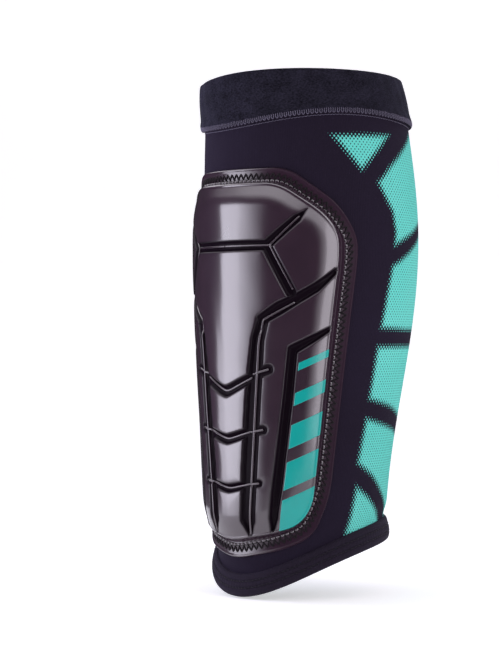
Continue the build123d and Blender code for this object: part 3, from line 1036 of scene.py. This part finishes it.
def foam_piece(node, material):
    """A foam block: the model's block, cut fine and pressed down where the shell's inner face is lower."""
    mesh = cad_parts[node].data.copy()
    cut = bmesh.new()
    cut.from_mesh(mesh)
    bmesh.ops.remove_doubles(cut, verts=cut.verts, dist=1e-6)
    long_edges = [e for e in cut.edges if e.calc_length() > FOAM_EDGE * MM]
    bmesh.ops.subdivide_edges(cut, edges=long_edges, cuts=2, use_grid_fill=True)
    bmesh.ops.triangulate(cut, faces=cut.faces)
    cut.to_mesh(mesh)
    cut.free()
    points = np.empty(len(mesh.vertices) * 3)
    mesh.vertices.foreach_get("co", points)
    points = points.reshape(-1, 3) / MM
    angle, out = places_of(points)
    s = angle * (section(points[:, 2])[0] + GIRTH_ALLOWANCE)
    lowest = BACKING_LOW if node == "foam_backing" else BLOCK_LOW
    pressed = np.minimum(out, np.maximum(underside(s, points[:, 2]) - FOAM_GAP, lowest))
    mesh.vertices.foreach_set("co", (at_angle(angle, points[:, 2], pressed) * MM).ravel())
    piece = new_object(node.replace("foam", "eva"), mesh, material)
    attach(piece, "root")
    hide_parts(node)


# ---------------------------------------------------------------- camera, lights and floor

def facing(azimuth, distance, height):
    """A place at a distance from the leg's line, at an azimuth from the front towards the outer side."""
    return (distance * math.sin(azimuth), -distance * math.cos(azimuth), height)


def add_camera(azimuth, distance, height, aside, lens):
    """A level camera at an azimuth, moved aside so that its view passes the leg's line by that much."""
    data = bpy.data.cameras.new("camera")
    data.lens = lens
    data.clip_end = 50
    camera = bpy.data.objects.new("camera", data)
    x, y, z = facing(azimuth, distance, height)
    camera.location = (x + aside * math.cos(azimuth), y + aside * math.sin(azimuth), z)
    camera.rotation_euler = (math.pi / 2, 0, azimuth)
    bpy.context.scene.collection.objects.link(camera)
    bpy.context.scene.camera = camera


def add_softbox(name, azimuth, height, width, tall, power, aim, tint):
    """A soft rectangular light that faces a point on the leg's line. Its azimuth is in degrees."""
    data = bpy.data.lights.new(name, "AREA")
    data.shape = "RECTANGLE"
    data.size, data.size_y = width, tall
    data.energy = power
    data.color = colour(tint)[:3]
    light = bpy.data.objects.new(name, data)
    light.location = facing(math.radians(azimuth), LIGHT_DISTANCE, height)
    away = light.location - Vector((0, 0, aim))
    light.rotation_euler = away.to_track_quat("Z", "Y").to_euler()
    bpy.context.scene.collection.objects.link(light)
    return light


def add_fade(name, strips, start, turn, height, tall, power, falloff, aim, tint):
    """Narrow lights beside a softbox, which softens its reflection's edge.

    Each is turned on from the last, and its power goes by the share of the row that is still to come.
    """
    for step in range(strips):
        left = 1 - (step + 0.5) / strips
        add_softbox(f"{name}_{step}", start + turn * step, height, STRIP_WIDTH, tall, power * left ** falloff,
                    aim, tint)


def stage_piece(name, points, faces, material):
    """A part of the studio, from points in metres."""
    piece = new_object(name, smooth_mesh(name, points, faces), material)
    return piece


def add_floor(low, material):
    """A pale round floor under the object, and paper that runs on from it and curves up behind the object.

    The paper is a profile swept straight across the view. Only the round floor shows in reflections.
    """
    sides = 64
    turn = np.arange(sides) / sides * TAU
    disc = np.stack([FLOOR_RADIUS * np.cos(turn), FLOOR_RADIUS * np.sin(turn), np.full(sides, low)], -1)
    stage_piece("floor", disc, [list(range(sides))], material)
    turn = np.linspace(0, np.pi / 2, 25)
    radius, back, ahead, side, top = 1.0, 2.6, 3.0, 5.0, 4.0
    away = np.concatenate([[-ahead], back + radius * np.sin(turn), [back + radius]])
    up = np.concatenate([[0], radius * (1 - np.cos(turn)), [top]]) + low - MM / 2
    across = np.array([-side, side])
    sine, cosine = math.sin(CAMERA_AZIMUTH), math.cos(CAMERA_AZIMUTH)
    x = -sine * away[:, None] + cosine * across[None, :]
    y = cosine * away[:, None] + sine * across[None, :]
    points = np.stack([x, y, np.broadcast_to(up[:, None], x.shape)], -1)
    faces = quads(np.arange(x.size).reshape(x.shape))[:, ::-1].tolist()
    backdrop = stage_piece("backdrop", points, faces, material)
    backdrop.visible_glossy = False
    backdrop.visible_shadow = False


def set_world(room, ceiling):
    """White where the camera sees past the floor, and for other rays a lit ceiling over a dim room.

    The ceiling fades in between two sines of the height above the horizon. Room and ceiling each have a
    strength for matt surfaces and one for reflections.
    """
    world = bpy.data.worlds.new("studio")
    world.use_nodes = True
    seen = add(world, "ShaderNodeLightPath", out="Is Camera Ray")
    glossy = add(world, "ShaderNodeLightPath", out="Is Glossy Ray")
    room = add(world, "ShaderNodeMapRange", {"Value": glossy, "To Min": room[0], "To Max": room[1]})
    ceiling = add(world, "ShaderNodeMapRange", {"Value": glossy, "To Min": ceiling[0], "To Max": ceiling[1]})
    towards = add(world, "ShaderNodeTexCoord", out="Generated")
    height = add(world, "ShaderNodeVectorMath", {0: towards, 1: (0, 0, 1)}, out="Value",
                 operation="DOT_PRODUCT")
    above = add(world, "ShaderNodeMapRange", {"Value": height, "From Min": 0.30, "From Max": 0.52},
                interpolation_type="SMOOTHSTEP")
    lit = add(world, "ShaderNodeMath", {0: above, 1: ceiling, 2: room}, operation="MULTIPLY_ADD")
    strength = add(world, "ShaderNodeMath", {0: lit, 1: seen}, operation="MAXIMUM")
    background = world.node_tree.nodes["Background"]
    background.inputs["Color"].default_value = colour("f6f2fa")
    world.node_tree.links.new(strength, background.inputs["Strength"])
    bpy.context.scene.world = world


middle = (cad_box[0][2] + cad_box[1][2]) / 2
add_camera(CAMERA_AZIMUTH, distance=1.05, height=middle + 0.001, aside=-0.0304, lens=100.65)
bpy.context.scene.view_settings.view_transform = "Standard"

set_world(room=(0.08, 0.03), ceiling=(0.5, 2.4))
add_floor(cad_box[0][2], seamless_paper("f4f4f6"))
# One softbox for the shin, one for the inner side's cloth that no gloss reflects, and one for the outer side
add_softbox("key_softbox", -35, 0.085, 0.52, 0.67, power=6.3, aim=0.085, tint=SHIN_TINT)
add_fade("key_fade", 6, -20.0, 4.8, 0.085, 0.67, power=1.0, falloff=1.3, aim=0.085, tint=SHIN_TINT)
add_softbox("key_spread", -52, -0.07, 0.2, 0.36, power=0.95, aim=-0.07, tint=SHIN_TINT)
inner_softbox = add_softbox("inner_softbox", -62, 0.3, 0.5, 0.5, power=10.0, aim=0.24, tint=INNER_TINT)
inner_softbox.visible_glossy = False
add_softbox("outer_softbox", 95, 0.25, 0.45, 1.4, power=7.5, aim=middle, tint=OUTER_TINT)
add_fade("outer_fade", 5, 81.8, -4.8, 0.25, 1.4, power=0.9, falloff=1.5, aim=middle, tint=OUTER_TINT)

knit_sleeve(compression_knit())
plush_cuff(plush_elastic())
elastic_strip(elastic_webbing())
folded_hem(hem_knit())
hem_threads(sewing_thread("hem_thread", "100d14", "1d1925"))
cuff_threads(sewing_thread("overlock_thread", "2c2935", "746e82"))
shell_threads(sewing_thread("shell_thread", "0f0a0e", "1c151b"))
tpu = moulded_tpu()
outer_shell(tpu)
shell_beads(tpu)
flange_pips(tpu)
stripe_films(teal_film())
foam = eva_foam()
for node in sorted(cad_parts):
    if node.startswith("foam_"):
        foam_piece(node, foam)
